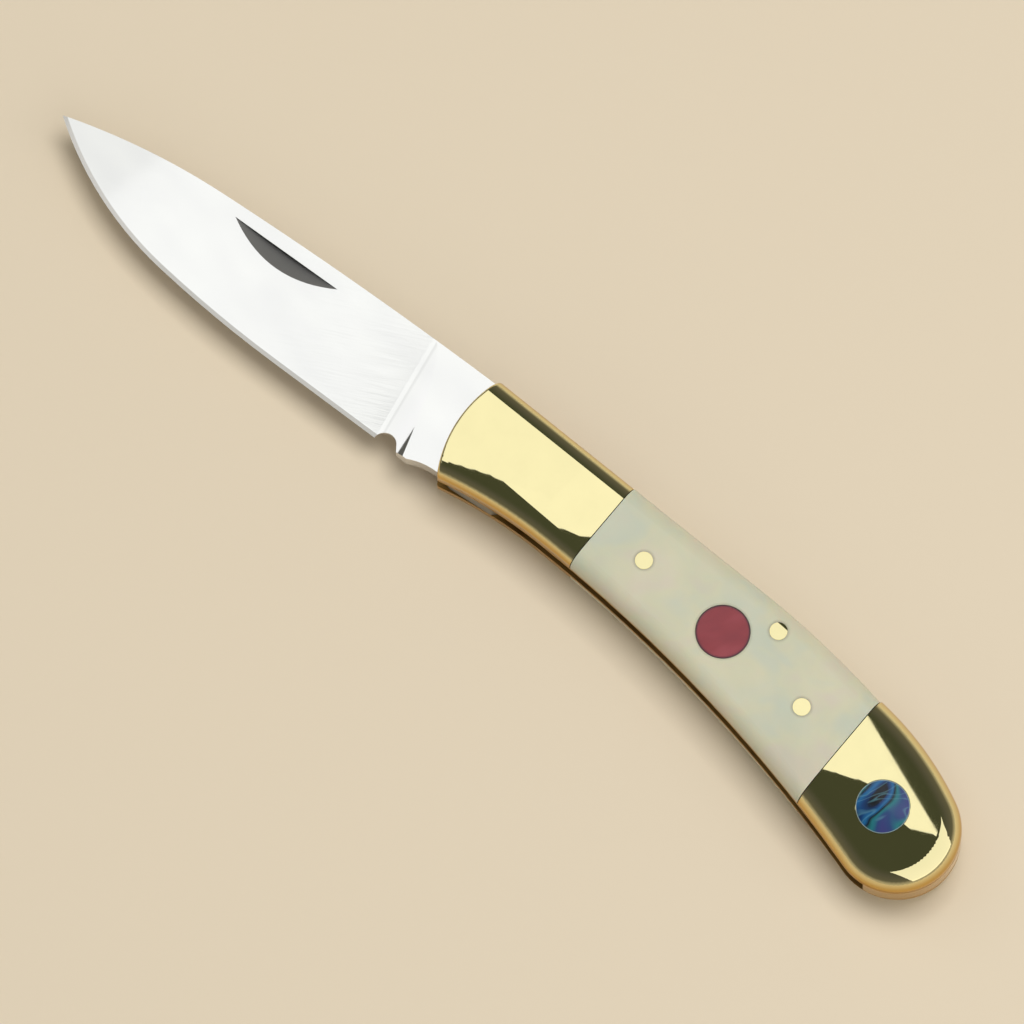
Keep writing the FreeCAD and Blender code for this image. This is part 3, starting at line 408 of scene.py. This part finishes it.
def dim_room():
    """A dim grey-green room, lighter toward the horizon."""
    world = bpy.data.worlds.new("dim_room")
    bpy.context.scene.world = world
    world.use_nodes = True
    tree = world.node_tree
    tree.nodes.clear()
    direction = add(tree, "ShaderNodeTexCoord")
    split = add(tree, "ShaderNodeSeparateXYZ", {0: direction.outputs["Generated"]})
    room = add(tree, "ShaderNodeValToRGB", {"Fac": split.outputs["Z"]})
    colour_stops(room, [(0.0, "#C9C2B4"), (0.12, "#A59F92"), (0.3, "#66645C"), (0.7, "#575753"),
                        (0.95, "#474B3E")])
    background = add(tree, "ShaderNodeBackground", {"Color": room.outputs["Color"], "Strength": 1.0})
    add(tree, "ShaderNodeOutputWorld", {"Surface": background.outputs[0]})


def studio():
    """The room, the level panels that the metal mirrors, one more past the tail, and two fills."""
    dim_room()
    for name, (x, y), size, radiance, turn, height in LEVEL_PANELS:
        lamp = softbox(name, (x, y, height), size, radiance)
        lamp.rotation_euler = (0, 0, math.radians(turn))
    for name, centre, facing, size, radiance, mirrored in LEANING_SOFTBOXES:
        lamp = softbox(name, centre, size, radiance, mirrored)
        lamp.rotation_mode = "QUATERNION"
        lamp.rotation_quaternion = Vector(facing).to_track_quat("-Z", "Y")


def camera():
    """The photograph's camera: far off, with a long lens, looking down along its angle."""
    data = bpy.data.cameras.new("camera")
    data.sensor_width = SENSOR_WIDTH
    data.lens = SENSOR_WIDTH * CAMERA_DISTANCE / FRAME_WIDTH
    data.clip_start = CAMERA_NEAR
    data.clip_end = CAMERA_FAR
    eye = bpy.data.objects.new("camera", data)
    bpy.context.scene.collection.objects.link(eye)
    azimuth = math.radians(CAMERA_AZIMUTH)
    elevation = math.radians(CAMERA_ELEVATION)
    back = Vector((math.sin(azimuth) * math.cos(elevation), -math.cos(azimuth) * math.cos(elevation),
                   math.sin(elevation)))
    eye.location = FRAME_CENTRE + back * CAMERA_DISTANCE
    eye.rotation_mode = "QUATERNION"
    eye.rotation_quaternion = (-back).to_track_quat("-Z", "Y")
    bpy.context.scene.camera = eye


dress(["blade"], mirror_steel())
dress(SPRING_STEEL_NODES, satin_steel())
dress(POLISHED_BRASS_NODES, brass("buffed_yellow_brass", 0.006, face_code="#EEE3AF", wall_code="#C9A04F"))
dress(SATIN_BRASS_NODES, brass("satin_sheet_brass", 0.3, face_code="#9C7A43", wall_code="#B98F45"))
dress(SCALE_NODES, pearl_acetate())
dress(RED_NODES, red_resin("mark_red_inlay"))
dress(SHELL_NODES, abalone_shell("mark_shell_inlay"))
floor()
studio()
camera()
bpy.context.scene.view_settings.view_transform = "Standard"
